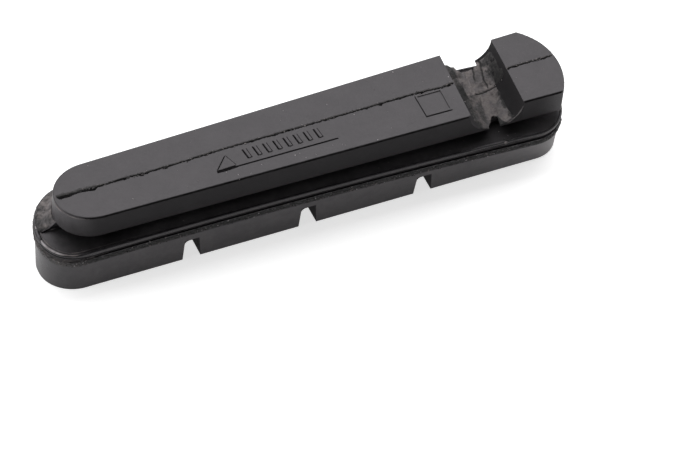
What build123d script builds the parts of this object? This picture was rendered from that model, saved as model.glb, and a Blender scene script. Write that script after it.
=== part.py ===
"""Bicycle rim brake pad: one moulded rubber insert for a cartridge holder.

The pad lies on its friction face. X runs along the pad from the round nose (-X) to the
screw notch (+X), the straight long side faces -Y, the bowed one +Y, and the key is on top.
"""
from build123d import *
import math
import os

os.makedirs("parts", exist_ok=True)

# Friction face, all sizes in mm
face_length = 55.0
face_straight = 4.76        # centre line to the straight long side, at the notch end
face_nose_straight = 4.4    # the same at the nose
face_crest = 4.65           # centre line to the crest of the bowed side
face_bow = 1.9              # the bowed side falls away by this towards the ends
face_nose_corner = 3.6
face_notch_corner = 3.0

# The key side lies at an angle to the friction face, thicker on the bowed side. The mould opens
# square to the ledge, so the key side stands off towards the straight side.
face_tilt = 10.0
ledge_height = 6.08         # friction face to ledge, on the key's centre line
ledge_offset = 0.82

# Rim: a rounded bead, a fine groove under it and a parting band
rim_straight = 4.46         # key's centre line to the straight side, at the nose
rim_crest = 5.1             # key's centre line to the crest of the bowed side
rim_bow = 1.2
rim_nose_overhang = 0.28    # past the end of the friction face
rim_notch_overhang = 0.16
rim_corner = 3.5            # on the straight side
rim_bowed_corner = 4.9
rim_flare = 1.46            # the straight side swings out towards the notch end
flare_lead = 5.44           # the swing starts this far from the nose end of the rim
bead_height = 0.6
bead_round = 0.24
seam_height = 0.3
seam_depth = 0.22
band_height = 0.83
wall_inset = 0.1            # side wall under the band

# Key, a head on a narrower neck that slides into the holder's channel
key_height = 4.05           # ledge to the top of the head
head_base = 1.1             # ledge to the underside of the head, on the centre line
head_tilt = 1.7             # the underside rises towards the bowed side
head_edge = 0.12
undercut = 1.1
neck_shift = 0.3            # the neck stands nearer the bowed side
nose_ledge = 1.99           # end of the rim to the tip of the nose
nose_length = 4.0
nose_half = 3.38
end_overhang = 0.15         # end of the key past the end of the rim
end_half = 4.25
end_drop = 0.95             # end of the key to its corner, on the straight side
end_bowed_drop = 2.5
end_round = 0.25

# Gate land that fills the undercut in front of the nose
land_reach = 1.75
land_foot = 0.65            # the ramp steepens this far from the key
land_foot_height = 0.42
land_side = 0.5
land_length = 4.64          # from the end of the rim

# Notch for the holder's screw
notch_to_end = 8.1          # axis of the notch to the end of the key
notch_radius = 2.85
notch_floor = 0.92          # ledge to the lowest line of the notch

# Grooves across the friction face
groove_count = 3
groove_pitch = 12.38
groove_shift = -0.38
groove_floor_width = 1.5
groove_floor_corner = 0.55
groove_side_angle = 86.0
groove_web = 2.6            # groove floor to ledge

# Ends and sides that follow from these sizes
face_end = face_length / 2
face_shoulder = face_crest - face_bow
rim_shoulder = rim_crest - rim_bow
rim_nose_end = face_end + rim_nose_overhang
rim_notch_end = face_end + rim_notch_overhang
flare_start = flare_lead - rim_nose_end
nose_tip = rim_nose_end - nose_ledge
key_end = rim_notch_end + end_overhang
end_corner = key_end - end_drop
end_bowed_corner = key_end - end_bowed_drop
notch_place = key_end - notch_to_end
reach = rim_straight + rim_flare + rim_crest

key_plane = Plane((0, -ledge_offset, ledge_height)).rotated((face_tilt, 0, 0))
key_axis = Axis(key_plane.origin, key_plane.z_dir)
across_plane = key_plane.rotated((90, 0, 0))
head_plane = key_plane.offset(head_base).rotated((head_tilt, 0, 0))
band_top = -bead_height - seam_height


def face_outline():
    """Return the friction face's outline."""
    with BuildSketch() as outline:
        with BuildLine():
            Polyline(
                (-face_end, face_shoulder),
                (-face_end, -face_nose_straight),
                (flare_start, -face_nose_straight),
                (face_end, -face_straight),
                (face_end, face_shoulder),
            )
            ThreePointArc((face_end, face_shoulder), (0, face_crest), (-face_end, face_shoulder))
        make_face()
        fillet(outline.vertices().group_by(Axis.X)[0], face_nose_corner)
        fillet(outline.vertices().group_by(Axis.X)[-1], face_notch_corner)
    return outline.sketch


def rim_outline(inset=0.0):
    """Return the rim's outline, drawn in by an inset."""
    nose_end = -rim_nose_end + inset
    notch_end = rim_notch_end - inset
    straight = -rim_straight + inset
    flared = straight - rim_flare
    shoulder = rim_shoulder - inset
    with BuildSketch() as outline:
        with BuildLine():
            Polyline((nose_end, shoulder), (nose_end, straight), (flare_start, straight))
            TangentArc((flare_start, straight), (notch_end, flared), tangent=(1, 0))
            Line((notch_end, flared), (notch_end, shoulder))
            ThreePointArc((notch_end, shoulder), (0, rim_crest - inset), (nose_end, shoulder))
        make_face()
        for end in (0, -1):
            fillet(outline.vertices().group_by(Axis.X)[end].sort_by(Axis.Y)[0], rim_corner - inset)
            fillet(outline.vertices().group_by(Axis.X)[end].sort_by(Axis.Y)[-1], rim_bowed_corner - inset)
    return outline.sketch


def key_outline(inset=0.0):
    """Return the key's outline, drawn in by an inset."""
    start = nose_length - nose_tip
    nose_side = nose_half - inset
    end_side = end_half - inset
    corner = end_corner - inset
    bowed_corner = end_bowed_corner - inset
    with BuildSketch() as outline:
        with BuildLine():
            EllipticalCenterArc((start, 0), nose_length - inset, nose_side, start_angle=90, arc_size=180)
            Line((start, -nose_side), (corner, -end_side))
            ThreePointArc((corner, -end_side), (key_end - inset, 0), (bowed_corner, end_side))
            Line((bowed_corner, end_side), (start, nose_side))
        make_face()
        fillet(outline.vertices().sort_by(Axis.X)[-2:], end_round)
    return outline.sketch


# Key, with the space cut out under its head all round the neck
with BuildPart() as undercut_space:
    with BuildSketch(key_plane):
        add(key_outline(-undercut))
        with Locations((0, neck_shift)):
            add(key_outline(undercut), mode=Mode.SUBTRACT)
    extrude(amount=key_height)
    split(bisect_by=head_plane, keep=Keep.BOTTOM)

with BuildPart() as key:
    with BuildSketch(key_plane):
        add(key_outline())
    extrude(amount=key_height)
    fillet(edges().group_by(key_axis)[-1], head_edge)
    add(undercut_space.part, mode=Mode.SUBTRACT)

# Gate land: a ramp from the rim up to the nose, on the bowed side of the centre line
with BuildPart() as gate_land:
    with BuildSketch(key_plane):
        add(key_outline(-land_reach))
    with BuildSketch(key_plane.offset(land_foot_height)):
        add(key_outline(-land_foot))
    with BuildSketch(key_plane.offset(head_base)):
        add(key_outline())
    loft(ruled=True)
    with BuildSketch(key_plane):
        add(rim_outline(bead_round))
    extrude(amount=head_base, mode=Mode.INTERSECT)
    with BuildSketch(key_plane):
        with Locations((-rim_nose_end, -land_side)):
            Rectangle(land_length, reach, align=(Align.MIN, Align.MIN))
    extrude(amount=head_base, mode=Mode.INTERSECT)

with BuildPart() as moulding:
    # Block between the friction face and the rim
    with BuildSketch():
        add(face_outline())
    with BuildSketch(key_plane.offset(band_top)):
        add(rim_outline(wall_inset))
    loft(ruled=True)

    # Rim
    with BuildSketch(key_plane.offset(band_top)):
        add(rim_outline())
    extrude(amount=-band_height)
    with BuildSketch(key_plane.offset(band_top)):
        add(rim_outline(seam_depth))
    extrude(amount=seam_height)
    with BuildSketch(key_plane.offset(-bead_height)):
        add(rim_outline())
    extrude(amount=bead_height)
    fillet(edges().group_by(key_axis)[-1], bead_round)

    add(key.part)
    add(gate_land.part)

    # Screw notch
    with BuildSketch(across_plane):
        with Locations((notch_place, notch_floor + notch_radius)):
            Circle(notch_radius)
    extrude(amount=reach, both=True, mode=Mode.SUBTRACT)

    # Grooves, their floors level with the ledge
    with BuildSketch(across_plane) as slots:
        with Locations((groove_shift, -groove_web)):
            with GridLocations(groove_pitch, 1, groove_count, 1):
                Trapezoid(
                    groove_floor_width + 2 * ledge_height / math.tan(math.radians(groove_side_angle)),
                    ledge_height,
                    groove_side_angle,
                    align=(Align.CENTER, Align.MAX),
                )
        fillet(slots.vertices().group_by(Axis.Y)[-1], groove_floor_corner)
    extrude(amount=reach, both=True, mode=Mode.SUBTRACT)

# The origin is the middle of the pad's footprint, on the friction face
centre = moulding.part.bounding_box().center()
with BuildPart() as brake_pad:
    with Locations((-centre.X, -centre.Y)):
        add(moulding.part)

brake_pad.part.label = "brake_pad"
export_step(brake_pad.part, "parts/brake_pad.step")
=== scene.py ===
# %% [markdown]
# # A moulded rubber brake pad
#
# The object is one piece of black rubber, 55 mm long, that slides into a metal holder on a
# bicycle's rim brake. Its solid shape is loaded as a fixed frame. This lesson adds what the
# mould and the knife left on the real one: a rough parting band, flash along the parting line,
# torn skin where the rubber was cut off, raised marks, crumbs and dust, and a matte finish.

# %% Load the solid
import random
from math import atan2, cos, exp, pi, radians, sin, sqrt, tau
import bmesh
import bpy
from mathutils import Matrix, Vector, noise
from mathutils.bvhtree import BVHTree


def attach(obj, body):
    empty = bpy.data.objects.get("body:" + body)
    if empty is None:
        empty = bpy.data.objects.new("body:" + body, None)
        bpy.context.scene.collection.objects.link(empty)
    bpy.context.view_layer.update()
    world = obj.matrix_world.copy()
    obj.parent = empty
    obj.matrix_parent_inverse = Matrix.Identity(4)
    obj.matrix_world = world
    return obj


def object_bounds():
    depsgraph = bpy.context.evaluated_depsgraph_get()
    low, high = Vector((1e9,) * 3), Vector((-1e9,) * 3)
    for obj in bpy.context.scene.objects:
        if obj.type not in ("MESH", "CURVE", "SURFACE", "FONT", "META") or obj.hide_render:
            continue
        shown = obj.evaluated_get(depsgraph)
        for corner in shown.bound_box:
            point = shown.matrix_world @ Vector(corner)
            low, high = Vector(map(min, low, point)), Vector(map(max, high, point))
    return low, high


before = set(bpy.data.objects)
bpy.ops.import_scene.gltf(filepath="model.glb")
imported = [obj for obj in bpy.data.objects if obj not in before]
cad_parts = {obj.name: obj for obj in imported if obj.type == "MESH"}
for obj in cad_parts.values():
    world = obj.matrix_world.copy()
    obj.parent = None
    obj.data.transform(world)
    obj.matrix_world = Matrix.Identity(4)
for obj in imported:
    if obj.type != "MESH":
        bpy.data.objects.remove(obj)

cad_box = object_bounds()
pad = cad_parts["brake_pad"]
MM = 0.001
print("solid box in mm", [[round(c / MM, 2) for c in corner] for corner in cad_box])

# %% [markdown]
# ## The key's own directions
#
# The back of the pad, with its ledge and key, lies at ten degrees to the friction face. Nearly
# everything here sits on the key side, so it is easier to say where it is along the pad (x),
# across the ledge (v) and over the ledge (w), in millimetres, and to turn that into metres.

# %% A point on the key side
LEDGE = Vector((-0.04229, 0.06185, 6.08)) * MM
TILT = radians(10)
ALONG = Vector((1, 0, 0))
ACROSS = Vector((0, cos(TILT), sin(TILT)))
OVER = Vector((0, -sin(TILT), cos(TILT)))
KEY_TOP = 4.05


def on_key(x, v, w=KEY_TOP):
    """Return the point x along, v across and w over the ledge's centre."""
    return LEDGE + (ALONG * x + ACROSS * v + OVER * w) * MM


print("middle of the key's top, in mm", [round(c / MM, 2) for c in on_key(0, 0)])

# %% [markdown]
# ## The camera
#
# A long lens far away keeps the pad's long edges nearly parallel. The camera looks down at about
# 45 degrees from the pad's straight side, turned a little towards the nose.

# %% Camera
LOOK_DOWN = radians(44.63)
TURN = radians(22.64)
CAMERA_PLACE = Vector((-158.9445, -394.8099, 415.3322)) * MM
LENS_WIDTH_RATIO = 5937.75 / 700
scene = bpy.context.scene


def add_object(name, data):
    """Put an object into the scene."""
    made = bpy.data.objects.new(name, data)
    scene.collection.objects.link(made)
    return made


camera_data = bpy.data.cameras.new("camera")
camera_data.sensor_width = 36
camera_data.lens = camera_data.sensor_width * LENS_WIDTH_RATIO
camera_data.clip_start = 0.01
camera = add_object("camera", camera_data)
camera.location = CAMERA_PLACE
camera.rotation_euler = (pi / 2 - LOOK_DOWN, 0, -TURN)
scene.camera = camera
print("lens in mm", round(camera_data.lens, 1))

# %% [markdown]
# ## Shader sums
#
# A finish is built from nodes. To keep the sums readable, one small class holds a socket and
# turns plus, minus and times into Math nodes. Every other node comes from one method, which
# takes the node's type, its settings and what goes into its sockets.


# %% A wire that can be added up
class Wire:
    """One output of a finish's nodes."""

    def __init__(self, finish, socket):
        self.finish = finish
        self.socket = socket

    def sum(self, operation, *values):
        return self.finish.node("ShaderNodeMath", {"operation": operation}, dict(enumerate(values)))

    def __add__(self, other):
        return self.sum("ADD", self, other)

    __radd__ = __add__

    def __sub__(self, other):
        return self.sum("SUBTRACT", self, other)

    def __rsub__(self, other):
        return self.sum("SUBTRACT", other, self)

    def __mul__(self, other):
        return self.sum("MULTIPLY", self, other)

    __rmul__ = __mul__

    def __abs__(self):
        return self.sum("ABSOLUTE", self)

    def ramp(self, low, high):
        """Return 0 below low and 1 over high, with a smooth step between."""
        inputs = {"Value": self, "From Min": low, "From Max": high}
        return self.finish.node("ShaderNodeMapRange", {"interpolation_type": "SMOOTHSTEP"}, inputs)

    def band(self, rise, fall):
        """Return 1 between two smooth steps, each given by its start and its end."""
        return self.ramp(*rise) * (1 - self.ramp(*fall))


class Finish:
    """The nodes of a material, or of the sky, and the one way to add a node to them."""

    def __init__(self, name, sky=None):
        self.material = sky or bpy.data.materials.new(name)
        self.material.use_nodes = True
        self.tree = self.material.node_tree
        self.shader = self.tree.nodes["Background" if sky else "Principled BSDF"]

    def node(self, kind, settings=None, inputs=None, output=0):
        """Add a node, set it up, feed its sockets and return one of its outputs."""
        made = self.tree.nodes.new(kind)
        for name, value in (settings or {}).items():
            setattr(made, name, value)
        for key, value in (inputs or {}).items():
            self.feed(self.find(made.inputs, key), value)
        return Wire(self, self.find(made.outputs, output))

    def find(self, sockets, key):
        """Return a socket by its place, its identifier or its name."""
        return next(s for k, s in enumerate(sockets) if key in (k, s.identifier, s.name))

    def feed(self, socket, value):
        """Link a wire to a socket, or set the socket's own value."""
        if isinstance(value, Wire):
            self.tree.links.new(value.socket, socket)
        else:
            socket.default_value = value

    def set(self, **inputs):
        """Feed the shader's sockets. Words are joined by underscores."""
        for name, value in inputs.items():
            self.feed(self.shader.inputs[name.replace("_", " ")], value)

    def blend(self, mask, colour_a, colour_b):
        """Return colour_a where the mask is 0 and colour_b where it is 1."""
        inputs = {"Factor_Float": mask, "A_Color": colour_a, "B_Color": colour_b}
        return self.node("ShaderNodeMix", {"data_type": "RGBA"}, inputs, "Result_Color")

    def place(self):
        """Return the place on the object in mm, as a vector wire."""
        where = self.node("ShaderNodeTexCoord", output="Object")
        inputs = {"Vector": where, "Scale": 1 / MM}
        return self.node("ShaderNodeVectorMath", {"operation": "SCALE"}, inputs, "Vector")

    def tone_and_painted_light(self):
        """Return the number that a piece carries at every point for its tone, painted shade and
        painted highlights.
        """
        return self.node("ShaderNodeAttribute", {"attribute_name": "tone_and_painted_light"}, {}, "Fac")

    def grain(self, where, scale, detail=3.0, roughness=0.55):
        """Return a noise from about 0.3 to 0.7, with this many features to the mm."""
        inputs = {"Vector": where, "Scale": scale, "Detail": detail, "Roughness": roughness}
        return self.node("ShaderNodeTexNoise", {}, inputs, "Fac")

    def bump(self, height, depth):
        """Return a normal for a height from 0 to 1, this many mm deep."""
        inputs = {"Height": height, "Distance": depth * MM, "Strength": 1.0}
        return self.node("ShaderNodeBump", {}, inputs, "Normal")


def grey(value, warmth=0.0):
    """Return a grey, a little warm or cool, with the faint purple of carbon black."""
    return (value * (1 + warmth), value * 0.95, value * (1 - warmth), 1.0)


print("a mid grey", grey(0.5))

# %% [markdown]
# ## The floor
#
# The pad stands on plain white paper, which sends light back up to the friction block's wall. A
# little glow that only the camera and shiny rubber see lifts the paper to white.

# %% Floor
FLOOR_REACH = 3.0
FLOOR_CORNERS = ((-1, -1), (1, -1), (1, 1), (-1, 1))
FLOOR_GLOW = 0.68
SHINE_SHARE = 0.53
WHITE = (1, 1, 1, 1)

floor_mesh = bpy.data.meshes.new("floor")
corners = [(sx * FLOOR_REACH, sy * FLOOR_REACH, cad_box[0].z) for sx, sy in FLOOR_CORNERS]
floor_mesh.from_pydata(corners, [], [(0, 1, 2, 3)])
floor = add_object("floor", floor_mesh)

paper = Finish("white_paper")
seen_rays = paper.node("ShaderNodeLightPath", output="Is Camera Ray")
shiny_rays = Wire(paper, seen_rays.socket.node.outputs["Is Glossy Ray"])
rays = seen_rays + shiny_rays * SHINE_SHARE
paper.set(Base_Color=(0.75, 0.75, 0.75, 1), Roughness=0.9, Specular_IOR_Level=0.0)
glow = paper.node("ShaderNodeEmission", {}, {"Color": WHITE, "Strength": FLOOR_GLOW}, "Emission")
dark = paper.node("ShaderNodeEmission", {}, {"Strength": 0.0}, "Emission")
seen = paper.node("ShaderNodeMixShader", {}, {0: rays, 1: dark, 2: glow})
plain = Wire(paper, paper.shader.outputs[0])
paper_sum = paper.node("ShaderNodeAddShader", {}, {0: plain, 1: seen})
paper.feed(paper.tree.nodes["Material Output"].inputs["Surface"], paper_sum)
floor_mesh.materials.append(paper.material)
print("floor at", cad_box[0].z)

# %% [markdown]
# ## The lamps
#
# Most light comes from a large soft box above and behind, so the tops are bright, the sides that
# face us are dark, and the key shades the ledge in front of it. Two smaller boxes at the sides
# catch the round ends.

# %% Lamps
AIM = Vector((0, 0, 0.004))
LAMPS = {
    "box_over": ((0.02, 0.23, 0.43), 0.8, 0.46, 3.1),
    "box_left": ((-0.42, 0.04, 0.17), 0.3, 0.3, 0.9),
    "box_right": ((0.42, 0.12, 0.17), 0.3, 0.3, 0.8),
}
for name, (place, width, depth, power) in LAMPS.items():
    lamp_data = bpy.data.lights.new(name, "AREA")
    lamp_data.shape = "RECTANGLE"
    lamp_data.size = width
    lamp_data.size_y = depth
    lamp_data.energy = power
    lamp = add_object(name, lamp_data)
    lamp.location = place
    lamp.rotation_euler = (AIM - lamp.location).to_track_quat("-Z", "Y").to_euler()
print("lamps", list(LAMPS))

# %% [markdown]
# ## The room
#
# A studio's pale walls give back a little light from everywhere. The sky here does that, and it
# is white only where the camera looks straight at it, so the backdrop doesn't light the pad.

# %% Room
ROOM_LIGHT = 0.05
sky = Finish("studio", bpy.data.worlds.new("studio"))
scene.world = sky.material
sky.set(Color=WHITE, Strength=ROOM_LIGHT)
room = Wire(sky, sky.shader.outputs[0])
backdrop = sky.node("ShaderNodeBackground", {}, {"Color": WHITE})
straight_look = sky.node("ShaderNodeLightPath", output="Is Camera Ray")
choose = sky.node("ShaderNodeMixShader", {}, {0: straight_look, 1: room, 2: backdrop})
sky.feed(sky.tree.nodes["World Output"].inputs["Surface"], choose)
scene.view_settings.view_transform = "Standard"
print("room light", ROOM_LIGHT)

# %% [markdown]
# ## The rubber
#
# Moulded rubber is nearly black, matte, and never quite even: it has faint cloudy patches from
# the mould's release agent and a very fine grain. The clouds go into the colour and the
# roughness, and the grain goes into a shallow bump.

# %% Clouds and grain
rubber = Finish("moulded_rubber")
where = rubber.place()
clouds = rubber.grain(where, 0.35, 4.0)
patches = rubber.grain(where, 1.3, 3.0)
fine = rubber.grain(where, 14.0, 2.0)
cloudy = (clouds * 0.6 + patches * 0.4).ramp(0.36, 0.64)
polished = rubber.tone_and_painted_light()
print("nodes for the clouds", len(rubber.tree.nodes))

# %% [markdown]
# ## Places on the pad
#
# The key's side, the grooves and the ledge by the notch are rougher, and painted darker as painted
# shade; the near wall of the notch is painted nearly black as painted shade. The block's straight
# wall is painted paler as painted light from the white floor, and paler still at the notch end as
# painted light from the right. The key's nose and the ledge are painted paler as painted light. So
# the finish measures where it is, over the ledge and along and across the pad. Each mask is 1 in
# its area and fades to 0 outside.

# %% Places on the pad
GROOVE_MIDDLE, GROOVE_PITCH = -0.422, 12.38
GROOVE_FLOOR, GROOVE_HALF, GROOVE_LEAN = -2.6, 0.75, 0.07


def measure(way):
    """Return how far a place lies from the ledge's centre in a direction, in mm."""
    inputs = {0: where, 1: way}
    reach = rubber.node("ShaderNodeVectorMath", {"operation": "DOT_PRODUCT"}, inputs, "Value")
    return reach - LEDGE.dot(way) / MM


height = measure(OVER)
across = measure(ACROSS)
along = rubber.node("ShaderNodeSeparateXYZ", {}, {"Vector": where}, "X")
on_wall = 1 - (height + patches * 0.2).ramp(-1.75, -1.55)
on_head = height.band((0.4, 0.9), (3.9, 4.02))
on_side = on_head * along.band((-25.0, -22.3), (23.5, 28.0))
on_nose = on_head * (1 - along.ramp(-25.2, -23.4))
by_notch = along.band((14.5, 18.0), (21.5, 24.5)) * height.band((-0.5, -0.3), (0.3, 0.5))
on_notch_wall = along.band((20.2, 20.8), (22.5, 22.6)) * height.ramp(1.2, 1.5)
on_ledge = height.band((-0.2, -0.1), (0.1, 0.2)) * along.ramp(-21.0, -17.0) * (1 - polished)
from_middle = along - GROOVE_MIDDLE
from_groove = abs(from_middle.sum("WRAP", from_middle, GROOVE_PITCH / 2, -GROOVE_PITCH / 2))
groove_half = GROOVE_HALF + (GROOVE_FLOOR - height) * GROOVE_LEAN
in_groove = (groove_half + 0.03 - from_groove).ramp(0.0, 0.02)
in_groove = in_groove * (1 - height.ramp(GROOVE_FLOOR, GROOVE_FLOOR + 0.1))
in_groove = in_groove * (1 - abs(from_middle).ramp(14.5, 15.0))
# This mask makes the key's side, the grooves and the ledge by the notch rougher and paints them
# darker, as painted shade.
dull_and_shaded = on_side + by_notch * (1 - polished) + in_groove
print("nodes with the masks", len(rubber.tree.nodes))

# %% [markdown]
# ## Greys of the rubber
#
# Some areas are painted paler as painted light and some darker as painted shade. Each area has a
# pair of greys that the clouds blend, and the masks choose the area.


# %% Greys of the rubber
def cloudy_grey(low, high, warmth=0.0):
    """Return a colour that the clouds blend from a darker grey to a paler one."""
    return rubber.blend(cloudy, grey(low), grey(high, warmth))


# These darker greys are painted shade, nearly black on the notch's near wall as painted shade.
side_colour = rubber.blend(on_notch_wall, cloudy_grey(0.014, 0.025), grey(0.007))
plain_key = cloudy_grey(0.014, 0.032, 0.006)
# The key's nose is painted paler as painted light from the left, and the ledge is painted paler as
# painted light.
key_colour = rubber.blend(on_nose, plain_key, cloudy_grey(0.045, 0.065))
top_colour = rubber.blend(on_ledge, key_colour, cloudy_grey(0.062, 0.09))
# The straight wall is painted paler as painted light from the white floor, and its notch end paler
# still as painted light from the right.
nose_wall = cloudy_grey(0.025, 0.045)
wall_painted_floor_light = cloudy_grey(0.062, 0.096, 0.015)
end_wall_painted_light = cloudy_grey(0.17, 0.22, 0.02)
bowed_wall = cloudy_grey(0.024, 0.042, 0.01)
straight_wall = rubber.blend(along.ramp(-26.5, -22.5), nose_wall, wall_painted_floor_light)
long_wall = rubber.blend(along.ramp(16.0, 27.0), straight_wall, end_wall_painted_light)
wall_colour = rubber.blend(across.ramp(-3.0, 0.5), long_wall, bowed_wall)
ground_colour = rubber.blend(on_wall, top_colour, wall_colour)
rubber.set(
    Base_Color=rubber.blend(dull_and_shaded, ground_colour, side_colour),
    Roughness=0.2 + patches * 0.2 + clouds * 0.12 + fine * 0.06 + dull_and_shaded * 0.48 - polished * 0.06,
    Normal=rubber.bump(fine * 0.5 + patches * 0.5, 0.03),
    Specular_IOR_Level=0.5,
    Specular_Tint=(1.0, 0.95, 1.0, 1.0),
)
pad.data.materials.clear()
pad.data.materials.append(rubber.material)
print("rubber nodes", len(rubber.tree.nodes))

# %% [markdown]
# ## Torn and rough rubber
#
# Where the rubber was torn or cut, and along the parting band, the skin is gone: the surface is
# rough, with paler crumbs and cracks that are painted dark as painted shade. Each piece carries a
# number at every point, 0 for black painted shade and 1 for a pale crumb, and this one finish reads
# it. Over 1.1 it turns pale grey, for pale dust and for painted highlights.

# %% Torn rubber
torn = Finish("torn_rubber")
torn_where = torn.place()
tone_and_painted_light = torn.tone_and_painted_light()
crumbly = torn.grain(torn_where, 7.0, 3.0, 0.6)
stain = torn.grain(torn_where, 0.9, 2.0)
paleness = (tone_and_painted_light + (crumbly - 0.5) * 0.5).ramp(0.0, 1.0)
pale = torn.blend(stain.ramp(0.4, 0.6), grey(0.14, 0.03), grey(0.19, 0.07))
torn_colour = torn.blend(paleness, grey(0.008), pale)
torn.set(
    # A tone over 1.1 turns pale grey: pale dust, and the painted highlight of the bead's line at the
    # nose.
    Base_Color=torn.blend(tone_and_painted_light.ramp(1.1, 2.0), torn_colour, grey(0.5, 0.02)),
    Roughness=0.72 + paleness * 0.15,
    Normal=torn.bump(crumbly, 0.04),
)
print("torn nodes", len(torn.tree.nodes))

# %% [markdown]
# ## Rays and uneven numbers
#
# A crumb or a tear follows the surface that carries it. A ray to the solid finds that surface, and
# one that meets it from behind, or only grazes it, is dropped. Nothing on torn rubber is even, so
# there is a rough noise, a smooth step, and a table of pairs to follow a measured line.

# %% Rays, noise, steps and tables
GRAZE = -0.05
skin_tree = BVHTree.FromPolygons(
    [v.co for v in pad.data.vertices], [p.vertices for p in pad.data.polygons]
)


def hit(start, way):
    """Return the place, the outward direction and the distance in mm of a hit, or None."""
    place, outward, _, distance = skin_tree.ray_cast(start, way)
    if place is None or outward.dot(way) > GRAZE:
        return None
    return place, outward, distance / MM


def rough(x, v, scale, seed, depth=4):
    """Return a rough noise from about -1 to 1."""
    return noise.fractal(Vector((x * scale, v * scale, seed)), 0.7, 2.0, depth)


def step(value, low, high):
    """Return 0 below low, 1 over high and a smooth step between."""
    t = min(max((value - low) / (high - low), 0.0), 1.0)
    return t * t * (3 - 2 * t)


def between(table, value):
    """Return the number that a table of pairs gives for a value, on straight lines."""
    for (x0, y0), (x1, y1) in zip(table, table[1:]):
        if value <= x1:
            return y0 + (y1 - y0) * min(max((value - x0) / (x1 - x0), 0.0), 1.0)
    return table[-1][1]


print("solid faces for rays", len(pad.data.polygons))

# %% [markdown]
# ## Closed pieces and ribs
#
# Everything that is added is a closed mesh, like a real bit of rubber. One function makes a piece
# from points and faces and lets it ride on the pad. Many pieces are ribs: a cross-section that is
# carried along a path.


# %% Pieces and ribs
def add_piece(name, points, faces, tones, finish=torn):
    """Make a closed piece from points and faces, with a tone at each point, and let it ride on the
    pad.
    """
    mesh = bpy.data.meshes.new(name)
    mesh.from_pydata(points, [], faces)
    mesh.attributes.new("tone_and_painted_light", "FLOAT", "POINT").data.foreach_set("value", tones)
    shape = bmesh.new()
    shape.from_mesh(mesh)
    bmesh.ops.delete(shape, geom=[v for v in shape.verts if not v.link_faces], context="VERTS")
    bmesh.ops.recalc_face_normals(shape, faces=shape.faces)
    shape.to_mesh(mesh)
    shape.free()
    mesh.shade_smooth()
    mesh.materials.append(finish.material)
    piece = add_object(name, mesh)
    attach(piece, "root")
    print(name, "faces", len(mesh.polygons))
    return piece


def join_rings(rings, loop=False):
    """Return the points and faces of a closed rib that runs through rings of points."""
    size = len(rings[0])
    points = [p for ring in rings for p in ring]
    faces = []
    for i in range(len(rings) if loop else len(rings) - 1):
        low, high = i * size, (i + 1) % len(rings) * size
        for k in range(size):
            n = (k + 1) % size
            faces.append([low + k, low + n, high + n, high + k])
    if not loop:
        faces.append(list(reversed(range(size))))
        faces.append([len(points) - size + k for k in range(size)])
    return points, faces


def add_rib(name, rings, tone, finish=torn, loop=False):
    """Add a rib through rings of points, with one tone or a list of them."""
    points, faces = join_rings(rings, loop)
    tones = tone if isinstance(tone, list) else [tone] * len(points)
    return add_piece(name, points, faces, tones, finish)


print("faces of a rib through two square rings", len(join_rings([[0, 1, 2, 3]] * 2)[1]))

# %% [markdown]
# ## Skins that lie on the solid
#
# A rough patch is a grid of hits, each lifted along the surface's own direction. Under it lies a
# second sheet, sunk into the solid, and a wall joins the two, so nothing floats. Where the lift is
# below zero the skin dives under the surface, which gives it a soft, ragged border.

# %% Skins
SINK = 0.12


def corners_of(i, j, columns):
    n = (j + 1) % columns
    return [(i, j), (i, n), (i + 1, n), (i + 1, j)]


def whole_cells(spots, loop):
    """Return the cells with four hits, without those that touch another at one corner only."""
    rows, columns = len(spots), len(spots[0])
    cells = set()
    for i in range(rows - 1):
        for j in range(columns if loop else columns - 1):
            if all(spots[a][b] for a, b in corners_of(i, j, columns)):
                cells.add((i, j))
    pinched = True
    while pinched:
        pinched = False
        for i, j in sorted(cells):
            for side in (1, -1):
                corner = (i + 1, (j + side) % columns)
                if corner in cells and (i, corner[1]) not in cells and (i + 1, j) not in cells:
                    cells.discard(corner)
                    pinched = True
    return cells


def lay_skin(name, spots, relief, tone, loop=False):
    """Lay a closed skin over a grid of hits. relief and tone give a lift in mm and a tone at each
    point.
    """
    points, tones, tops, soles, faces, border = [], [], {}, {}, [], set()
    for i, row in enumerate(spots):
        for j, spot in enumerate(row):
            if spot:
                for shelf, lift in ((tops, relief(i, j)), (soles, -SINK)):
                    shelf[i, j] = len(points)
                    points.append(spot[0] + spot[1] * lift * MM)
                    tones.append(tone(i, j))
    for i, j in whole_cells(spots, loop):
        ring = corners_of(i, j, len(spots[0]))
        faces.append([tops[c] for c in ring])
        faces.append([soles[c] for c in reversed(ring)])
        for a, b in zip(ring, ring[1:] + ring[:1]):
            if (b, a) in border:
                border.remove((b, a))
            else:
                border.add((a, b))
    for a, b in sorted(border):
        faces.append([tops[b], tops[a], soles[a], soles[b]])
    return add_piece(name, points, faces, tones)


print("cells in a grid of 3 by 3 hits", len(whole_cells([[True] * 3] * 3, False)))

# %% [markdown]
# ## The parting band
#
# The two halves of the mould meet along a band round the rim, and the flash was ground off
# there. That leaves a rough, speckled strip. Rays go inwards all round the rim, at several
# heights, and fine noise with a few sharp crumbs lifts the skin.

# %% Rays round the rim
RIM_MIDDLE, RIM_OUT, RIM_ROUND = 23.0, 8.0, 5.0


def around_rim(spacing):
    """Return starts and inward ways in x and v, once round the rim."""
    starts = []
    run = int(2 * RIM_MIDDLE / spacing)
    turn = int(pi * RIM_ROUND / spacing)
    for side in (-1, 1):
        for k in range(run):
            starts.append(((-side) * (2 * k / run - 1) * RIM_MIDDLE, side * RIM_OUT, 0, -side))
        for k in range(turn):
            angle = side * pi / 2 + pi * k / turn
            c, s = cos(angle), sin(angle)
            starts.append((-side * RIM_MIDDLE + RIM_OUT * c, RIM_OUT * s, -c, -s))
    return starts


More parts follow.
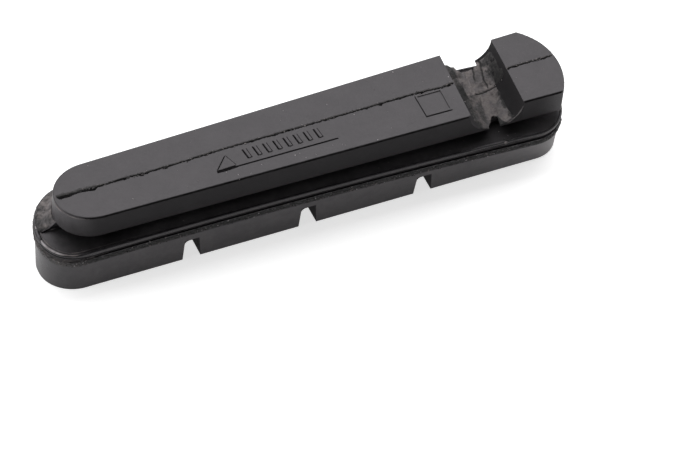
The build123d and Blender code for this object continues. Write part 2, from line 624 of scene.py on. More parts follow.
def rim_hit(start, w):
    """Return the hit of a ray inwards to the rim, w over the ledge."""
    x, v, in_x, in_v = start
    return hit(on_key(x, v, w), ALONG * in_x + ACROSS * in_v)


rim_starts = around_rim(0.11)
print("rays round the rim", len(rim_starts))

# %% Parting band
BAND_TOP, BAND_FOOT, BAND_ROWS = -0.93, -1.7, 12
band_step = (BAND_FOOT - BAND_TOP) / (BAND_ROWS - 1)
band_spots = [
    [rim_hit(start, BAND_TOP + band_step * i) for start in rim_starts] for i in range(BAND_ROWS)
]


def band_noise(i, j):
    """Return the coarse and the fine noise at a spot of the band."""
    place = band_spots[i][j][0] / MM
    coarse = noise.fractal(place * 1.1, 0.8, 2.0, 3)
    crumbs = noise.fractal(place * 4.5 + Vector((7, 0, 0)), 0.6, 2.0, 3)
    return coarse, crumbs


def at_nose(place):
    """Return 1 at the round nose and 0 along the rest of the rim."""
    return step(-place.x / MM, 23.2, 25.2)


def band_relief(i, j):
    coarse, crumbs = band_noise(i, j)
    inside = step(min(i, BAND_ROWS - 1 - i), 0, 2.5) * (1 - 0.5 * at_nose(band_spots[i][j][0]))
    return inside * (0.05 + 0.03 * coarse + 0.06 * crumbs + 0.1 * step(crumbs, 0.3, 0.8)) - 0.01


def band_tone(i, j):
    coarse, crumbs = band_noise(i, j)
    patchy = 0.35 + 0.65 * step(coarse, -0.25, 0.3)
    calm = 0.32 * at_nose(band_spots[i][j][0])
    pale_crumbs = 0.85 * patchy * step(crumbs, 0.3, 0.7)
    return 0.08 + calm + 0.14 * coarse + pale_crumbs - 0.25 * step(-crumbs, 0.1, 0.5)


lay_skin("parting_band", band_spots, band_relief, band_tone, loop=True)

# %% [markdown]
# ## The band at the nose
#
# At the nose the rough strip climbs over the fine groove under the bead and half fills it. A
# second skin of the same kind lies over the groove there and sinks away along the two sides.

# %% Band over the groove at the nose
NOSE_MIDDLE = 22.5
GROOVE_ROWS = 11


def nose_turn(start):
    return atan2(start[1], -start[0] - NOSE_MIDDLE)


nose_starts = sorted([start for start in rim_starts if start[0] < -21.5], key=nose_turn)
groove_spots = [
    [rim_hit(start, -0.56 - 0.04 * i) for start in nose_starts] for i in range(GROOVE_ROWS)
]


def groove_relief(i, j):
    place = groove_spots[i][j][0] / MM
    fill = step(-nose_starts[j][0], 22.0, 24.0) * step(min(i, GROOVE_ROWS - 1 - i), 0, 2)
    return fill * (0.17 + 0.09 * noise.fractal(place * 2.0, 0.7, 2.0, 4)) - 0.012


def groove_tone(i, j):
    place = groove_spots[i][j][0] / MM
    spots = 0.5 * step(noise.noise(place * 4), 0.25, 0.6)
    return 0.42 + 0.2 * noise.fractal(place * 1.5, 0.7, 2.0, 4) + spots


lay_skin("nose_band", groove_spots, groove_relief, groove_tone)

# %% [markdown]
# ## The rim's bead
#
# A rounded bead runs round the edge of the ledge and catches a thin line of light. It is a closed
# roll that follows the rim. Its middle lies inside the solid, so only its back shows. In front of
# the gate it bulges outwards a little, where the rubber pressed into the mould's joint.

# %% Bead
BEAD_AIM, BEAD_SIDES, BEAD_THICK = -0.36, 10, 0.15


def round_ring(middle, way_out, way_up, thick, sides):
    """Return a ring of points round a middle, each this many mm from it."""
    turns = [tau * k / sides for k in range(sides)]
    return [middle + (way_out * cos(t) + way_up * sin(t)) * thick * MM for t in turns]


bead_rings = []
for start in around_rim(0.2):
    place, outward, _ = rim_hit(start, BEAD_AIM)
    spot = place / MM
    near_gate = step(-spot.x, 26.6, 27.4) * step(-spot.y, -0.5, 0.1) * step(spot.y, -1.6, -0.9)
    thick = BEAD_THICK + 0.012 * noise.noise(spot * 0.7) + 0.12 * near_gate
    middle = place + (OVER * 0.29 - outward * 0.12) * MM
    bead_rings.append(round_ring(middle, outward, OVER, thick, BEAD_SIDES))
add_rib("bead", bead_rings, 1.0, rubber, loop=True)

# %% [markdown]
# ## Two lines on the bead
#
# Round the nose the mould's edge left a thin ridge inside the bead, and a bright line runs along
# the bead's crest. Both are thin ribs that follow the rim, painted pale as painted highlights, and
# the line is brightest at the tip. Along the straight side and behind the gate they thin out until
# they lie in the rubber.

# %% Ridge and bright line
LINE_SIDES, LINE_THINNEST = 6, 0.015


def add_nose_line(name, fade, over, inward, thick, uneven, tone, tip, speckle):
    """Lay a thin rib on the bead round the nose, with a pale tone, a painted highlight, that rises
    at the tip.
    """
    rings, tones = [], []
    for start in sorted(around_rim(0.08), key=nose_turn):
        if start[0] > -16 or start[1] > 1.5:
            continue
        place, outward, _ = rim_hit(start, BEAD_AIM)
        spot = place / MM
        shown = step(-spot.x, *fade) * step(-start[1], -1.4, 0.0)
        swell = 1 - uneven / 2 + uneven * noise.noise(spot * 1.3)
        middle = place + (OVER * over - outward * inward) * MM
        radius = max(LINE_THINNEST, thick * shown * swell)
        rings.append(round_ring(middle, outward, OVER, radius, LINE_SIDES))
        shade = tone + tip * step(-spot.x, 25.7, 26.6) + speckle * noise.noise(spot * 2.5)
        tones += [shade] * LINE_SIDES
    add_rib(name, rings, tones)


add_nose_line("bead_ridge", (21.5, 25.0), 0.355, 0.47, 0.085, 0.5, 0.72, 0.0, 0.4)
add_nose_line("bead_highlight_line", (23.8, 25.6), 0.4, 0.13, 0.13, 0.3, 1.0, 0.6, 0.3)

# %% [markdown]
# ## The shade under the key's edge
#
# Along the straight side and round the nose, a dark line of painted shade lies just under the key's
# top. It is a narrow dark strip that takes no shine, and it makes the edge look crisp. It is a thin
# rib laid on the edge, with a finish of its own that has hardly any gloss.

# %% Dark finish for painted shade
# A dark finish with hardly any gloss, for ribs that are painted shade.
shade_finish = Finish("painted_shade_rubber")
shade_cloud = shade_finish.grain(shade_finish.place(), 2.0, 3.0)
shade_colour = shade_finish.blend(shade_cloud.ramp(0.35, 0.65), grey(0.004), grey(0.012))
shade_finish.set(
    Base_Color=shade_finish.blend(shade_finish.tone_and_painted_light(), shade_colour, grey(0.028)),
    Roughness=0.85 + shade_cloud * 0.1,
    Specular_IOR_Level=0.05,
)
print("dull nodes", len(shade_finish.tree.nodes))

# %% Painted shade under the key's edge
NOSE_X, NOSE_LENGTH, NOSE_HALF = -21.79, 4, 3.38
END_X, END_HALF = 26.86, 4.25
EDGE_SHADE_STEP, EDGE_SHADE_TURN, EDGE_SHADE_SUNK = 0.15, 32, 0.018
EDGE_SHADE_SECTION = [
    (-0.08, 3.8), (0.008, 3.82), (0.016, 3.9), (0.011, 3.97), (-0.032, 4.02), (-0.11, 3.92),
]


def edge_shade_ring(x, v, out_x, out_v, sunk=0.0):
    """Return the strip's cross-section at a point of the key's outline."""
    low = 0.04 * rough(x, v, 0.9, 2.0)
    section = [(out - sunk, over + (low if over < 3.9 else 0.0)) for out, over in EDGE_SHADE_SECTION]
    return [on_key(x + out_x * out, v + out_v * out, over) for out, over in section]


def side_of_key(x):
    """Return v of the key's straight side at x."""
    return -NOSE_HALF - (END_HALF - NOSE_HALF) * (x - NOSE_X) / (END_X - NOSE_X)


def round_nose(degrees):
    """Return a point of the nose's outline and the way outwards, by the angle from the side."""
    s, c = sin(radians(degrees)), cos(radians(degrees))
    out = Vector((-s / NOSE_LENGTH, -c / NOSE_HALF)).normalized()
    return NOSE_X - NOSE_LENGTH * s, -NOSE_HALF * c, out.x, out.y


def side_edge_shade(start, count):
    places = [start + EDGE_SHADE_STEP * k for k in range(count)]
    return [edge_shade_ring(x, side_of_key(x), -EDGE_SHADE_SUNK, -1) for x in places]


nose_edge_shade = []
for k in range(40):
    share = 1 - k / 40
    nose_edge_shade.append(edge_shade_ring(*round_nose(EDGE_SHADE_TURN * share), EDGE_SHADE_SUNK * share))
# Ribs of painted shade under the key's edge, round the nose and along the straight side.
add_rib("edge_shade_key", nose_edge_shade + side_edge_shade(NOSE_X, 257), 0.0, shade_finish)
add_rib("edge_shade_end", side_edge_shade(22.62, 28), 0.0, shade_finish)

# %% [markdown]
# ## The lip round the nose
#
# Further round the nose the edge ends in a fine lip, painted pale as a painted highlight. A thin
# round rib stands for it and thins out at both ends.

# %% Fine lip round the nose
LIP_STEPS, LIP_SIDES, LIP_OUT, LIP_OVER = 60, 10, 0.015, 3.83
lip_rings = []
for k in range(LIP_STEPS + 1):
    x, v, out_x, out_v = round_nose(22 + 68 * k / LIP_STEPS)
    radius = 0.02 + 0.06 * step(k, 0, 20) * (1 - step(k, 45, 60))
    middle = on_key(x + out_x * LIP_OUT, v + out_v * LIP_OUT, LIP_OVER)
    outward = ALONG * out_x + ACROSS * out_v
    lip_rings.append(round_ring(middle, outward, OVER, radius, LIP_SIDES))
add_rib("nose_lip_highlight", lip_rings, 1.0)

# %% [markdown]
# ## The strip under the bead
#
# Under the bead a dark line of painted shade sets the bead off. A flat rib round the whole rim
# shows it, and it climbs a little at the nose.

# %% Painted shade under the bead
STRIP_AIM = -0.5
STRIP_SECTION = [(-0.06, 0.1), (0.012, 0.065), (0.016, -0.015), (0.012, -0.1), (-0.06, -0.13)]
strip_rings = []
for start in around_rim(0.2):
    place, outward, _ = rim_hit(start, STRIP_AIM)
    rise = 0.22 * at_nose(place)
    low = 0.03 * noise.noise(place / MM * 1.5)
    strip_rings.append([
        place + (outward * out + OVER * (over + rise + (low if over > 0.05 else 0.0))) * MM
        for out, over in STRIP_SECTION
    ])
add_rib("bead_shade_strip", strip_rings, 1.0, shade_finish, loop=True)

# %% [markdown]
# ## The torn notch
#
# The screw notch has a smooth wall on the right and a torn floor, with a long curved crack along
# it and the parting line across it. Rays go out from the notch's axis, like spokes. Where a spoke
# meets the open break in the overhang it finds nothing near, and the skin stops at a ragged lip.

# %% Spokes in the notch
NOTCH_X, NOTCH_W, NOTCH_R = 19.71, 3.77, 2.85
BREAK_LEFT = [(-4.1, -16.5), (-3.85, -11.7), (-3.4, -3.0), (-2.67, 5.5), (-2.6, 16.0)]
BREAK_CORNER = [(-3.4, 18.0), (-3.2, 14.5), (-2.67, 6.3), (-2.6, 0.0)]
notch_v = [-4.3 + 0.06 * i for i in range(136)]
notch_turn = [-80 + 1.2 * j for j in range(135)]


def notch_spot(v, turn):
    """Return the spot that a spoke meets, by its place across the pad and its angle."""
    spoke = ALONG * sin(radians(turn)) - OVER * cos(radians(turn))
    found = hit(on_key(NOTCH_X, v, NOTCH_W), spoke)
    if found and found[2] < NOTCH_R + 0.05:
        return found
    left_lip = -16 < turn < between(BREAK_LEFT, v) + 1.2 * rough(v, 0, 2.0, 3.0)
    right_lip = 17 > turn > between(BREAK_CORNER, v) + 1.2 * rough(v, 0, 2.0, 7.0)
    if -4.1 < v < -2.4 and (left_lip or right_lip):
        return on_key(NOTCH_X, v, NOTCH_W) + spoke * NOTCH_R * MM, -spoke, NOTCH_R
    return None


notch_spots = [[notch_spot(v, turn) for turn in notch_turn] for v in notch_v]
print("spokes that found rubber", sum(1 for row in notch_spots for spot in row if spot))

# %% [markdown]
# ## Cracks and ragged borders
#
# A crack in torn rubber wanders. Each one follows a table of places and angles, sways with noise
# and is deepest on its line. The border of the torn area wanders in the same way.

# %% Cracks and borders
DEGREES_TO_MM = 20
LONG_CRACK = [(-0.2, 25.0), (0.56, 25.3), (1.35, 25.5), (2.22, 27.6), (2.79, 30.5), (3.4, 34.5)]
SHORT_CRACK = [(1.6, 6.5), (2.11, 8.5), (2.35, 9.5), (3.06, 13.4), (3.5, 16.0)]
FAINT_CRACK = [(-2.2, -8.5), (-1.51, -5.9), (-1.0, -3.8), (-0.15, 1.3)]
TORN_START = [(-4, -38), (-0.5, -40), (0.3, -45), (4, -48)]


def notch_rough(v, turn, scale, seed):
    return rough(v, turn / DEGREES_TO_MM, scale, seed)


def crack(value, middle, width):
    """Return 1 on a crack's line, falling to 0 at its width."""
    return exp(-((value - middle) / width) ** 2)


def notch_cracks(v, turn):
    """Return how deep the cracks are here, from 0 to 1."""
    sway = 2.0 * notch_rough(v, turn, 1.6, 4.0)
    long_one = crack(turn, between(LONG_CRACK, v) + sway, 1.9) * step(v, 0.1, 0.6)
    short_one = crack(turn, between(SHORT_CRACK, v) + sway, 1.6) * step(v, 1.5, 2.2)
    faint_one = 0.5 * crack(turn, between(FAINT_CRACK, v) + sway, 1.5)
    faint_one *= step(v, -2.3, -1.6) * step(-v, 0.0, 0.3)
    line_place = 0.27 - 0.003 * turn + 0.05 * rough(turn / 10, 0, 1.5, 2.0)
    line = crack(v, line_place, 0.085) * step(turn, -9, -3)
    return min(1.0, long_one + short_one + faint_one + line)


def notch_inside(v, turn):
    """Return 1 in the torn area and 0 outside its ragged border."""
    ragged = 5 * notch_rough(v, turn, 1.1, 1.0)
    start = between(TORN_START, v) + ragged
    return step(turn, start, start + 10) * step(-turn, -44 + ragged, -37 + ragged)


def notch_wall(v, turn):
    """Return 1 on the rough part of the right wall, over the parting line."""
    ragged = 8 * notch_rough(v, turn, 0.9, 2.5)
    return step(v, 0.25, 0.6) * step(turn, 36, 44) * step(-turn, -74 + ragged, -66 + ragged)


print("depth on the long crack", round(notch_cracks(1.35, 25.5), 2))

# %% [markdown]
# ## The torn floor
#
# Torn rubber is lumpy, and between two cracks a flake stands up. The lift is the highest of the
# torn floor, the rough right wall and a soft shoulder at the far end. Lumps are pale. The cracks are
# painted dark as painted shade, and a pit and the corner beside the break are painted black as
# painted shade, which stands in for the shadowed opening of the break.

# %% Torn notch floor
BREAK_RIGHT = [(-4.1, 27.0), (-3.71, 21.5), (-3.2, 18.0), (-2.67, 14.0)]
PALE_START = [(-4, -9), (-2.0, -6), (-1.25, -5), (-0.3, -1), (0.25, -4), (0.4, -26), (4, -30)]


def notch_relief(i, j):
    v, turn = notch_v[i], notch_turn[j]
    far = step(v, 0.2, 0.45)
    shoulder = 0.42 + 0.06 * notch_rough(v, turn, 2.0, 4.5)
    shoulder *= step(v, 2.1, 3.4) * step(turn, -74, -52) * step(-turn, 6, 22)
    wall = notch_wall(v, turn) * (0.03 + 0.035 * notch_rough(v, turn, 1.6, 7.0))
    short, long = between(SHORT_CRACK, v), between(LONG_CRACK, v)
    flake = step(v, 0.9, 1.6) * step(turn, short - 1, short + 3) * step(-turn, -long - 1, -long + 4)
    lump = 0.13 + 0.05 * notch_rough(v * 0.5, turn, 1.2, 8.0) + 0.07 * flake
    lump += far * 0.06 * notch_rough(v * 0.6, turn, 3.0, 5.0) + 0.02 * notch_rough(v, turn, 6.0, 3.0)
    torn_lift = notch_inside(v, turn) * lump * (1 - 0.85 * notch_cracks(v, turn))
    return max(torn_lift, wall, shoulder) - 0.012


def notch_tone(i, j):
    v, turn = notch_v[i], notch_turn[j]
    shade = 0.73 + 0.16 * notch_rough(v * 0.5, turn, 1.4, 6.0) + 0.1 * step(v, 0.2, 0.5)
    blotch = 0.22 * notch_rough(v * 0.7, turn, 2.2, 9.0) + 0.16 * notch_rough(v, turn, 7.0, 2.0)
    left = between(PALE_START, v)
    edge = 0.3 * (1 - step(turn, left - 4, left + 3)) + 0.2 * (1 - step(turn, -36, -22))
    # A pit and the corner beside the break are painted black as painted shade.
    pit_shade = step(v, -0.4, 0.1) * step(-v, -1.9, -1.2) * step(-turn, 22, 29)
    on_floor = 1 - step(turn + 9 * notch_rough(v, turn, 1.8, 3.3), 33, 46)
    break_shade = step(between(BREAK_RIGHT, v) - turn, -1.0, 2.0) * step(turn, 7, 11) * step(-v, 2.78, 3.0)
    far_shade = 0.08 + 0.5 * blotch + 0.12 * step(v, 1.5, 3.5)
    wall_shade = 0.06 + 0.2 * blotch + step(v, 0.3, 0.8) * far_shade
    shown = wall_shade * (1 - on_floor) + (shade + blotch - edge) * on_floor
    # The cracks are painted darker as painted shade.
    return max(0.0, shown * (1 - 0.9 * notch_cracks(v, turn)) * (1 - pit_shade) * (1 - break_shade))


lay_skin("torn_notch", notch_spots, notch_relief, notch_tone)

# %% [markdown]
# ## The edge of the notch
#
# Where the notch cuts the key's straight side, the right edge is sharp and painted pale as a
# painted highlight. A thin uneven rib follows the arc of that edge.

# %% Bright edge of the notch
EDGE_STEPS, EDGE_SIDES, EDGE_THICK, EDGE_THINNEST = 48, 6, 0.075, 0.01
edge_rings = []
for k in range(EDGE_STEPS + 1):
    turn = radians(26 + 58 * k / EDGE_STEPS)
    x, w = NOTCH_X + NOTCH_R * sin(turn), NOTCH_W - NOTCH_R * cos(turn)
    shown = step(sin(pi * k / EDGE_STEPS), -0.05, 0.3)
    thick = max(EDGE_THINNEST, EDGE_THICK * (0.7 + 0.4 * rough(turn, 0, 4.0, 6.0)) * shown)
    outward = ALONG * sin(turn) - OVER * cos(turn)
    middle = on_key(x, side_of_key(x), w)
    edge_rings.append(round_ring(middle, outward, ACROSS, thick, EDGE_SIDES))
add_rib("notch_edge_highlight", edge_rings, 0.75)

# %% [markdown]
# ## The gate scar
#
# The rubber ran into the mould at the nose, and the gate was torn off there. Its land is paler and
# lumpy. Here the rays fall square on the ledge in front of the nose. A ray that starts inside the
# key meets the solid from behind and is dropped, so the skin ends at the key by itself.

# %% Gate scar
GATE_DROP, GATE_DEEPEST = 1.2, 1.6
gate_x = [-27.75 + 0.06 * i for i in range(86)]
gate_v = [-0.75 + 0.06 * j for j in range(90)]


def drop(x, v, w=5):
    """Return the hit of a ray that falls square on the ledge or the key's top."""
    return hit(on_key(x, v, w), -OVER)


gate_hits = [[drop(x, v, GATE_DROP) for v in gate_v] for x in gate_x]
gate_spots = [[s if s and s[2] < GATE_DEEPEST else None for s in row] for row in gate_hits]


def gate_inside(x, v):
    ragged = 0.12 * rough(x, v, 1.7, 2.0)
    return step(v, -0.5 + ragged, -0.25 + ragged) * step(-x, 22.9 + ragged, 23.4 + ragged)


def gate_relief(i, j):
    x, v = gate_x[i], gate_v[j]
    lump = 0.1 + 0.07 * rough(x, v, 1.0, 7.0) + 0.04 * rough(x, v, 3.5, 3.0)
    return gate_inside(x, v) * lump - 0.012


def gate_tone(i, j):
    x, v = gate_x[i], gate_v[j]
    blotch = 0.35 * rough(x, v, 1.3, 9.0) + 0.2 * rough(x, v, 4.0, 1.0)
    return 0.36 + 0.25 * step(x, -27.2, -25.6) + blotch


lay_skin("gate_scar", gate_spots, gate_relief, gate_tone)

# %% [markdown]
# ## Flash along the parting line
#
# A thin fin of rubber squeezed out between the mould's halves and was snapped off. What is left
# is a low ragged ridge along the top of the key, steep towards the straight side. Each station
# along it gets its own height from noise, and below zero the ridge dips under the surface. At the
# nose a thicker strip is left standing.

# %% Parting flash
FLASH_SPACING = 0.05
FLASH_LINE = [
    (-25.6, 0.28), (-24.0, 0.22), (-22.4, 0.26), (-19.7, 0.23), (-18.1, 0.27), (-16.5, 0.22),
    (-14.9, 0.2), (-12.0, 0.26), (-8.2, 0.38), (0.3, 0.35), (11.1, 0.42), (13.3, 0.4),
    (15.4, 0.25), (17.1, 0.4), (22.6, 0.29), (27.6, 0.3),
]


def stations(start, end):
    count = int((end - start) / FLASH_SPACING)
    return [start + (end - start) * k / count for k in range(count + 1)]


def flash_place(x):
    return between(FLASH_LINE, x) + 0.03 * rough(x, 0, 2.5, 6.0)


def flash_height(x):
    """Return the height of the flash in mm."""
    ragged = rough(x, 0, 1.9, 3.1, 5)
    burst = max(0.0, rough(x, 0, 0.45, 9.2, 2)) ** 2
    beads = max(0.0, rough(x, 0, 4.5, 5.4, 2))
    return 0.045 + 0.07 * ragged + 0.16 * burst + 0.07 * beads + 0.03 * step(-x, 21.6, 22.5)


def flash_ring(x):
    """Return the flash's cross-section at x: back foot, crest, front and a sunk sole."""
    v = flash_place(x)
    high = flash_height(x)
    strip = step(-x, 21.4, 22.2) * (0.5 + 0.7 * max(0.0, rough(x, 0, 1.4, 8.8)))
    half_width = NOSE_HALF * sqrt(max(0.0, 1 - (min(x - NOSE_X, 0) / NOSE_LENGTH) ** 2))
    back = min(0.2 + 0.2 * strip, half_width - v - 0.15)
    section = [
        (back, -0.03), (min(0.06 + 0.2 * strip, back * 0.6), high * 0.9), (0.0, high),
        (-0.03, high * 0.5), (-0.05 - 0.14 * strip, 0.14 * high * strip - 0.01),
        (-0.06 - 0.24 * strip, -0.03), (0.0, -SINK),
    ]
    return [on_key(x, v + aside, KEY_TOP + over) for aside, over in section]


def add_flash(name, start, end):
    tones = []
    for x in stations(start, end):
        speck = step(rough(x, 0, 3.2, 12.0), 0.35, 0.7)
        # The front faces, towards the straight side, are painted dark as painted shade, and the
        # crest carries pale specks.
        tones += [0.2, 0.22 + 0.6 * speck, 0.25 + 0.75 * speck, 0.03, 0.0, 0.1, 0.0]
    add_rib(name, [flash_ring(x) for x in stations(start, end)], tones)


add_flash("flash_key", -25.45, 16.8)
add_flash("flash_end", 22.62, 27.5)

# %% [markdown]
# ## Painted shade at the foot of the flash
#
# Along the near side of the flash a dark strip of painted shade lies on the rubber, with a wider
# lump here and there. A flat ragged rib follows the flash, and a table gives each lump's place,
# reach and length.

# %% Painted shade at the foot of the flash
FOOT_LUMPS = [
    (-25.0, 0.16, 0.5), (-24.3, 0.12, 0.35), (-22.4, 0.12, 0.4), (-21.7, 0.3, 0.35),
    (-20.9, 0.1, 0.2), (-18.3, 0.1, 0.25), (-16.6, 0.2, 0.25), (-16.0, 0.1, 0.15),
    (-14.1, 0.15, 0.25), (-9.7, 0.08, 0.2), (-4.8, 0.1, 0.2), (-2.5, 0.08, 0.3),
    (7.4, 0.12, 0.15), (8.9, 0.2, 0.15), (11.0, 0.12, 0.2), (13.2, 0.1, 0.4),
    (16.2, 0.12, 0.3), (22.7, 0.16, 0.12), (23.5, 0.08, 0.3), (26.5, 0.07, 0.4),
]


def foot_ring(x):
    wide = 0.11 + 0.06 * step(-x, 21.5, 22.5)
    wide += 0.07 * rough(x, 0, 2.8, 14.0) + 0.06 * rough(x, 0, 8.0, 3.0)
    wide += sum(size * crack(x, place, reach) for place, size, reach in FOOT_LUMPS)
    wide = max(wide, 0.02)
    section = [
        (-wide - 0.04, -0.04), (-wide, 0.012), (-wide * 0.5, 0.03), (0.0, 0.035), (0.03, -0.06),
    ]
    return [on_key(x, flash_place(x) + aside, KEY_TOP + over) for aside, over in section]


# Ribs of painted shade along the near side of the flash.
for name, start, end in (("flash_shade_key", -25.35, 16.8), ("flash_shade_end", 22.62, 27.3)):
    add_rib(name, [foot_ring(x) for x in stations(start, end)], 0.0, shade_finish)

# %% [markdown]
# ## Moulded marks
#
# The key's top carries low raised marks that tell which way the pad goes in: a plain arrow, a row
# of slanted bars and an empty square. Each is a low rib or plate with sloping sides, and its foot
# is sunk into the rubber. Dull dark ribs beside them are painted shade.

# %% Ribs and plates for marks
MARK_SLOPE, MARK_FOOT = 0.05, -0.04


def rib_rings(path, width, high, loop=False):
    """Return four-point cross-sections along a path on the key's top, mitred at its corners."""
    rings = []
    for k, here in enumerate(path):
        pairs = [(k - 1, k), (k, (k + 1) % len(path))]
        if not loop:
            pairs = [(a, b) for a, b in pairs if 0 <= a < b]
        ways = [(Vector(path[b]) - Vector(path[a])).normalized() for a, b in pairs]
        way = sum(ways, Vector((0, 0))).normalized()
        side = Vector((-way.y, way.x)) / max(way.dot(ways[0]), 0.3)
        ring = []
        for edge, over in ((-1, MARK_FOOT), (-1, high), (1, high), (1, MARK_FOOT)):
            reach = edge * (width / 2 + (MARK_SLOPE if over < 0 else 0.0))
            ring.append(on_key(here[0] + side.x * reach, here[1] + side.y * reach, KEY_TOP + over))
        rings.append(ring)
    return rings


def plate_rings(outline, high):
    """Return a foot ring and two top rings for a low plate with sloping sides."""
    middle = sum((Vector(p) for p in outline), Vector((0, 0))) / len(outline)
    rings = []
    for grow, over in ((1.12, MARK_FOOT), (1.0, high), (0.5, high * 1.05)):
        ring = [middle + (Vector(p) - middle) * grow for p in outline]
        rings.append([on_key(p.x, p.y, KEY_TOP + over) for p in ring])
    return rings


def add_mark(name, rings, loop=False, finish=rubber):
    add_rib(name, rings, 0.0, finish, loop).data.shade_flat()


# A dull dark rib beside a mark, painted shade.
def add_mark_shade(name, path, width, high=0.04):
    add_mark(name, rib_rings(path, width, high), finish=shade_finish)


print("rings in a straight mark", len(rib_rings([(0, 0), (1, 0)], 0.15, 0.1)))

# %% Arrow, bars and square
BAR_COUNT, BAR_FIRST, BAR_PITCH = 8, -5.75, 1.08
SQUARE = [(12.6, 0.0), (12.75, -2.55), (15.33, -2.6), (15.25, -0.02)]
add_mark("arrow_head", plate_rings([(-9.35, -2.0), (-8.05, -0.6), (-7.45, -1.95)], 0.12))
add_mark_shade("arrow_shade_low", [(-9.5, -2.1), (-8.6, -2.14), (-7.35, -2.06)], 0.2, 0.05)
add_mark_shade("arrow_shade_left", [(-9.4, -1.9), (-8.75, -1.2), (-8.1, -0.5)], 0.06)
add_mark_shade("arrow_shade_right", [(-8.0, -0.5), (-7.7, -1.2), (-7.35, -1.95)], 0.05)
add_mark("arrow_shaft", rib_rings([(-7.5, -1.98), (-3.0, -2.02), (3.3, -2.09)], 0.15, 0.1))
add_mark_shade("shaft_shade", [(-7.4, -2.09), (-3.0, -2.13), (3.35, -2.2)], 0.07)
for count in range(BAR_COUNT):
    x = BAR_FIRST + BAR_PITCH * count
    add_mark(f"bar_{count}", rib_rings([(x, -1.5), (x - 0.1, -0.95), (x - 0.2, -0.35)], 0.26, 0.09))
    for side, aside, wide in (("left", x - 0.21, 0.1), ("right", x + 0.2, 0.05)):
        path = [(aside, -1.52), (aside - 0.1, -0.95), (aside - 0.2, -0.33)]
        add_mark_shade(f"bar_shade_{count}_{side}", path, wide, 0.03)
add_mark("square", rib_rings(SQUARE, 0.15, 0.09, loop=True), loop=True)
add_mark_shade("square_shade", [(12.5, -0.02), (12.66, -2.66), (15.4, -2.71)], 0.06)

# %% [markdown]
# ## A nick in the bead
#
# Near the notch the bead took a knock. Two short cuts meet in a small corner, and the rubber
# beside them was rubbed to a duller grey. Two crossed ribs, painted black as the painted shade of
# the cuts, and a low flake on the ledge show it.

# %% Nick
NICK_SECTION = ((-1, 0), (0, 1), (1, 0), (0, -1.6))
# The two cuts are painted black as painted shade; the third rib is the pale flake.
NICK_CUTS = [
    ((20.3, -5.15), (20.62, -5.5), 0.0),
    ((20.62, -5.5), (21.0, -5.3), 0.0),
    ((20.2, -5.62), (20.55, -5.6), 0.8),
]
nick_points, nick_faces, nick_tones = [], [], []
for start, end, tone in NICK_CUTS:
    rings = []
    for share in (0.0, 0.2, 0.4, 0.6, 0.8, 1.0):
        x, v = start[0] + (end[0] - start[0]) * share, start[1] + (end[1] - start[1]) * share
        thick = 0.06 + 0.1 * sin(pi * share)
        rings.append([on_key(x, v + c * thick, 0.07 + s * thick) for c, s in NICK_SECTION])
    points, faces = join_rings(rings)
    nick_faces += [[len(nick_points) + k for k in face] for face in faces]
    nick_points += points
    nick_tones += [tone] * len(points)
add_piece("bead_nick", nick_points, nick_faces, nick_tones)

# %% [markdown]
# ## Crumbs and dust
#
# Black rubber shows every crumb. Small pale specks lie along the flash, on the ledge, on the band
# and here and there on the top. Each is a tiny lump, flattened and pressed half into the surface
# it lies on. The places come from a seeded random source, so every run gives the same ones.

# %% One crumb
chance = random.Random(7)
crumb_points, crumb_faces, crumb_tones = [], [], []
lump = bmesh.new()
bmesh.ops.create_icosphere(lump, subdivisions=1, radius=1.0)
lump_points = [v.co.copy() for v in lump.verts]
lump_faces = [[v.index for v in f.verts] for f in lump.faces]
lump.free()


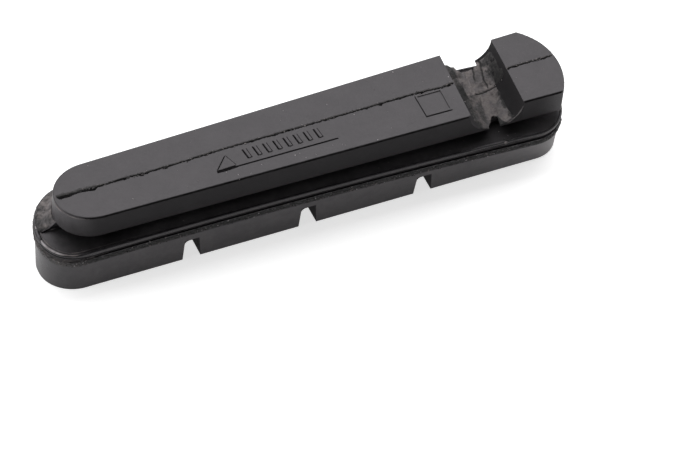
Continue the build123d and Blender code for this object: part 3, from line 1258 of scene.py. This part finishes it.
def add_crumb(found, size, tone):
    """Press one crumb into the surface that a ray found."""
    if not found:
        return
    turn = found[1].to_track_quat("Z", "Y").to_matrix()
    spin = Matrix.Rotation(chance.uniform(0, 6.3), 3, "Z")
    stretch = Vector((chance.uniform(0.7, 1.5), chance.uniform(0.6, 1.0), chance.uniform(0.4, 0.7)))
    first = len(crumb_points)
    for p in lump_points:
        bent = Vector([c * s * chance.uniform(0.8, 1.2) for c, s in zip(p, stretch)])
        crumb_points.append(found[0] + turn @ spin @ bent * size * MM)
        crumb_tones.append(tone)
    crumb_faces.extend([[first + k for k in face] for face in lump_faces])


print("faces of one crumb", len(lump_faces))

# %% Crumbs and dust
CRUMB_HEAPS = (
    -24.6, -23.0, -21.9, -17.9, -16.8, -14.2, -11.5, -9.0, -1.0, 8.9, 12.9, 16.0, 23.7, 25.4, 26.2,
)
FLASH_TONES = (0.0, 0.0, 0.0, 0.1, 0.5, 0.8, 1.2)
BAND_TONES = (0.0, 0.0, 0.3, 0.9, 1.6)


def add_dust(count, x_ends, v_ends, sizes, tones, w=5):
    """Scatter crumbs over a rectangle of the key side."""
    for _ in range(count):
        x, v = chance.uniform(*x_ends), chance.uniform(*v_ends)
        add_crumb(drop(x, v, w), chance.uniform(*sizes), chance.choice(tones))


for count in range(760):
    x = chance.uniform(-25, 27) if count % 2 else chance.choice(CRUMB_HEAPS) + chance.gauss(0, 0.35)
    v = between(FLASH_LINE, x) + chance.gauss(0.0, 0.07)
    add_crumb(drop(x, v), chance.uniform(0.03, 0.1), chance.choice(FLASH_TONES))
for _ in range(170):
    x = chance.uniform(-25.2, -20.8)
    v = between(FLASH_LINE, x) + abs(chance.gauss(0.05, 0.14))
    add_crumb(drop(x, v), chance.uniform(0.02, 0.06), chance.choice((0.0, 0.3, 0.5, 0.8)))
add_dust(45, (-25, 27), (-4, 4), (0.03, 0.07), (0.7, 1.5, 2.5))
add_dust(40, (-26, 26), (-5.6, -3.6), (0.03, 0.08), (0.4, 0.8), 0.9)
for _ in range(900):
    start = chance.choice(rim_starts)
    found = rim_hit(start, chance.uniform(-1.75, -0.85))
    add_crumb(found, chance.uniform(0.03, 0.11), chance.choice(BAND_TONES))
add_dust(9, (-11, 4), (-3.5, -2.6), (0.03, 0.05), (1.5, 2.0, 2.5))
add_piece("crumbs", crumb_points, crumb_faces, crumb_tones)

# %% Finish
bpy.context.view_layer.update()
